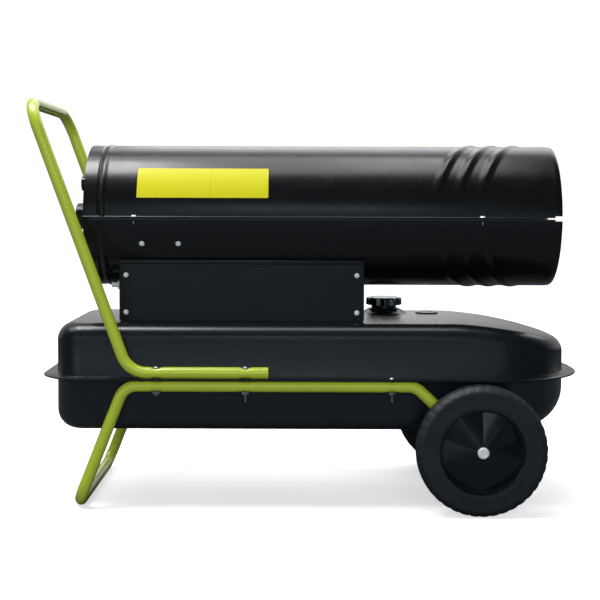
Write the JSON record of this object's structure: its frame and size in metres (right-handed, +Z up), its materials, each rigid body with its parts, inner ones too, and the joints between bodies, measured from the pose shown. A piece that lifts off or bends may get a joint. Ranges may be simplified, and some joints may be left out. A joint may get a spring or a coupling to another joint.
{
  "type": "forced air heater",
  "caption": "Portable oil-fired forced air heater: steel barrel on a pressed fuel tank, with bent tube handle, lower frame and two wheels.",
  "frame": {"origin": "on the ground under the middle of the object's box", "axes": "+X towards the hot-air outlet, +Y towards the controls and filler, +Z up"},
  "size_m": [0.9028, 0.4186, 0.6569],
  "materials": {
    "black_sheet": "satin black powder coat",
    "black_cover": "satin black-grey powder coat",
    "tank_paint": "satin black powder coat",
    "green_paint": "lime green powder coat",
    "hot_steel": "heat-tinted stainless steel",
    "plated_steel": "zinc-plated sheet",
    "cast_alloy": "cast alloy",
    "black_plastic": "moulded black plastic",
    "wheel_plastic": "moulded black plastic",
    "tyre_rubber": "matte black rubber",
    "rubber": "matte rubber",
    "zinc": "bright zinc plate",
    "gauge_case": "plated case",
    "brass": "bare brass",
    "ceramic": "glazed ceramic",
    "circuit_board": "green solder resist",
    "red_plastic": "glossy red",
    "clear_lens": "clear moulded lens"
  },
  "bodies": {
    "chassis": {"upper_shell": "black_sheet", "lower_shell": "black_sheet", "combustion_chamber": "hot_steel", "outlet_baffle": "hot_steel", "burner_head": "plated_steel", "fuel_nozzle": "brass", "spark_plug": "ceramic", "photocell": "black_plastic", "motor_housing": "cast_alloy", "motor_bracket": "plated_steel", "pump_body": "cast_alloy", "pump_cover": "cast_alloy", "filter_cover": "black_plastic", "pressure_gauge": "gauge_case", "inlet_guard": "zinc", "control_box": "black_cover", "side_cover_near": "black_cover", "side_cover_far": "black_cover", "circuit_board": "circuit_board", "ignition_transformer": "black_plastic", "switch_bezel": "black_plastic", "cord_gland": "zinc", "tank_upper": "tank_paint", "tank_lower": "tank_paint", "fuel_strainer": "black_plastic", "gauge_body": "black_plastic", "gauge_lens": "clear_lens", "fuel_pickup": "brass", "fuel_line": "rubber", "air_line": "brass", "handle": "green_paint", "base_frame": "green_paint", "axle": "zinc", "axle_cap_near": "zinc", "axle_cap_far": "zinc", "frame_bolt_near_1": "zinc", "frame_bolt_near_2": "zinc", "frame_bolt_near_3": "zinc", "frame_bolt_far_1": "zinc", "frame_bolt_far_2": "zinc", "frame_bolt_far_3": "zinc", "frame_nut_near_1": "zinc", "frame_nut_near_2": "zinc", "frame_nut_near_3": "zinc", "frame_nut_far_1": "zinc", "frame_nut_far_2": "zinc", "frame_nut_far_3": "zinc"},
    "rotor": {"motor_shaft": "plated_steel", "fan": "cast_alloy", "pump_rotor": "plated_steel"},
    "wheel_near": {"wheel_rim_near": "wheel_plastic", "tyre_near": "tyre_rubber"},
    "wheel_far": {"wheel_rim_far": "wheel_plastic", "tyre_far": "tyre_rubber"},
    "cap_seal": {"cap_gasket": "rubber"},
    "filler_cap": {"fuel_cap": "zinc"},
    "thermostat": {"thermostat_knob": "black_plastic"},
    "rocker": {"power_switch": "red_plastic"},
    "float": {"gauge_float": "brass"},
    "needle": {"gauge_needle": "zinc"}
  },
  "joints": [
    {"name": "fan_spin", "type": "hinge", "parent": "chassis", "child": "rotor", "pos_m": [-0.23555, 0, 0.4648], "axis": [1, 0, 0], "continuous": true},
    {"name": "wheel_near_spin", "type": "hinge", "parent": "chassis", "child": "wheel_near", "pos_m": [0.27165, -0.186, 0.103], "axis": [0, 1, 0], "continuous": true},
    {"name": "wheel_far_spin", "type": "hinge", "parent": "chassis", "child": "wheel_far", "pos_m": [0.27165, 0.186, 0.103], "axis": [0, 1, 0], "continuous": true},
    {"name": "cap_lift", "type": "slide", "parent": "chassis", "child": "cap_seal", "axis": [0, 0, 1], "range_m": [0, 0.03]},
    {"name": "cap_turn", "type": "hinge", "parent": "cap_seal", "child": "filler_cap", "pos_m": [0.13555, 0.078, 0.3154], "axis": [0, 0, 1], "range_deg": [0, 540]},
    {"name": "thermostat_turn", "type": "hinge", "parent": "chassis", "child": "thermostat", "pos_m": [-0.24055, 0.1, 0.3474], "axis": [0, 1, 0], "range_deg": [0, 270]},
    {"name": "switch_rock", "type": "hinge", "parent": "chassis", "child": "rocker", "pos_m": [-0.17055, 0.0923, 0.3474], "axis": [1, 0, 0], "range_deg": [0, 22]},
    {"name": "float_swing", "type": "hinge", "parent": "chassis", "child": "float", "pos_m": [0.21075, 0.068, 0.2184], "axis": [-1, 0, 0], "range_deg": [0, 60]},
    {"name": "needle_turn", "type": "hinge", "parent": "chassis", "child": "needle", "pos_m": [0.21075, 0.068, 0.2912], "axis": [0, 0, 1], "range_deg": [0, 90]}
  ],
  "couplings": [
    {"joint": "needle_turn", "follows": "float_swing", "ratio": 1.5}
  ]
}
